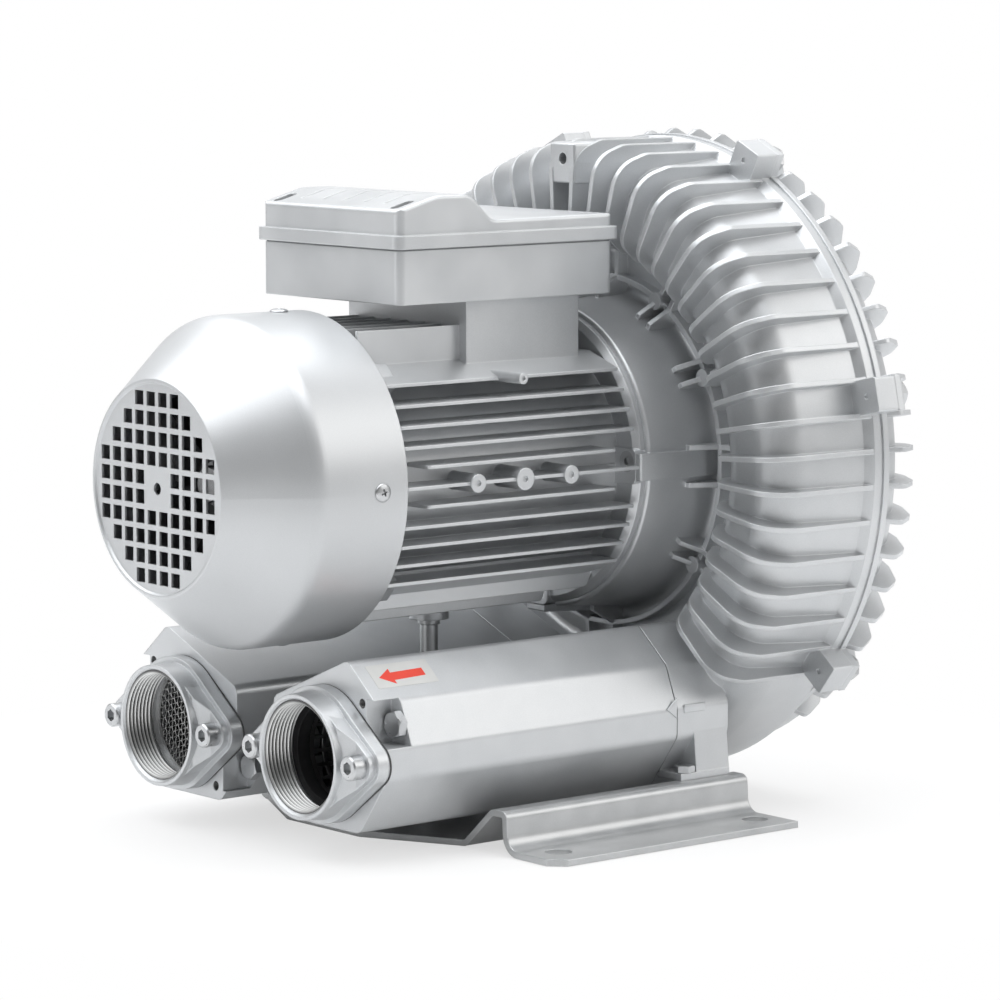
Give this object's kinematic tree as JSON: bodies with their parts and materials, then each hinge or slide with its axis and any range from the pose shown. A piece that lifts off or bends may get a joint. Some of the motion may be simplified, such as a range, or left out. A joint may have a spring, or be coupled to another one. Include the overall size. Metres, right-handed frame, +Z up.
{
  "type": "side channel blower",
  "caption": "Side channel blower: ribbed flange motor, finned ring casing, silencers with threaded ports, pressed sheet foot",
  "frame": {"origin": "middle of the four foot holes, on the floor", "axes": "+Z up; +Y along the motor axis from the fan to the casing; +X to the right seen from the ports"},
  "size_m": [0.3748, 0.394, 0.372],
  "materials": {
    "painted_casting": "aluminium-silver paint, satin",
    "painted_sheet": "aluminium-silver paint, satin",
    "painted_foot": "aluminium-silver paint, satin",
    "bare_casting": "as cast with turned lands",
    "zinc_fastener": "bright zinc plate",
    "bright_steel": "ground bearing steel",
    "turned_steel": "turned, oiled",
    "core_steel": "stacked laminations, lacquered",
    "copper_winding": "enamelled copper, varnished",
    "cage_brass": "turned brass",
    "seal_rubber": "nitrile rubber, matt",
    "fibre_gasket": "pressed fibre, matt",
    "fan_plastic": "glass-filled polyamide, matt",
    "black_plastic": "moulded polyamide, fine grain",
    "terminal_plastic": "moulded phenolic, satin",
    "liner_foam": "sound absorbing felt, matt",
    "screen_wire": "galvanised wire",
    "tube_sheet": "perforated galvanised sheet"
  },
  "bodies": {
    "machine": {"base_bolts": "zinc_fastener", "base_bracket": "painted_foot", "bearing_wave_spring": "turned_steel", "blanking_plug": "black_plastic", "blower_cover": "painted_casting", "blower_housing": "painted_casting", "cable_gland": "black_plastic", "capacitor_straps": "screen_wire", "capacitors": "black_plastic", "drive_bearing_outer_ring": "bright_steel", "endshield_bolts": "zinc_fastener", "fan_bearing_outer_ring": "bright_steel", "fan_cover": "painted_sheet", "fan_cover_screws": "zinc_fastener", "fan_endshield": "bare_casting", "flange_gaskets": "fibre_gasket", "flange_screws": "zinc_fastener", "housing_bolts": "zinc_fastener", "housing_seal": "seal_rubber", "inlet_flange": "painted_casting", "inlet_screen": "screen_wire", "inlet_silencer": "painted_casting", "lid_screws": "zinc_fastener", "motor_flange_bolts": "zinc_fastener", "motor_frame": "painted_casting", "motor_support_post": "painted_foot", "outlet_flange": "painted_casting", "outlet_seal_ring": "seal_rubber", "outlet_silencer": "painted_casting", "perforated_tubes": "tube_sheet", "shaft_seal": "seal_rubber", "silencer_bolts": "zinc_fastener", "silencer_gaskets": "fibre_gasket", "silencer_liners": "liner_foam", "stator_core": "core_steel", "stator_windings": "copper_winding", "terminal_block": "terminal_plastic", "terminal_box": "painted_casting", "terminal_box_lid": "painted_casting", "terminal_box_screws": "zinc_fastener", "terminal_box_seals": "seal_rubber", "terminal_studs": "cage_brass"},
    "rotor": {"motor_shaft": "turned_steel", "rotor_core": "core_steel", "rotor_end_rings": "bare_casting", "impeller": "bare_casting", "impeller_key": "turned_steel", "impeller_washer": "zinc_fastener", "impeller_screw": "zinc_fastener", "cooling_fan": "fan_plastic", "fan_circlip": "turned_steel", "drive_bearing_inner_ring": "bright_steel", "fan_bearing_inner_ring": "bright_steel"},
    "drive_cage": {"drive_bearing_balls": "bright_steel", "drive_bearing_cage": "cage_brass"},
    "fan_cage": {"fan_bearing_balls": "bright_steel", "fan_bearing_cage": "cage_brass"}
  },
  "joints": [
    {"name": "rotor_spin", "type": "hinge", "parent": "machine", "child": "rotor", "pos_m": [0, 0, 0.193], "axis": [0, 1, 0], "continuous": true},
    {"name": "drive_cage_spin", "type": "hinge", "parent": "machine", "child": "drive_cage", "pos_m": [0, 0.06, 0.193], "axis": [0, 1, 0], "continuous": true},
    {"name": "fan_cage_spin", "type": "hinge", "parent": "machine", "child": "fan_cage", "pos_m": [0, -0.1285, 0.193], "axis": [0, 1, 0], "continuous": true}
  ],
  "couplings": [
    {"joint": "drive_cage_spin", "follows": "rotor_spin", "ratio": 0.3965},
    {"joint": "fan_cage_spin", "follows": "rotor_spin", "ratio": 0.3969}
  ]
}
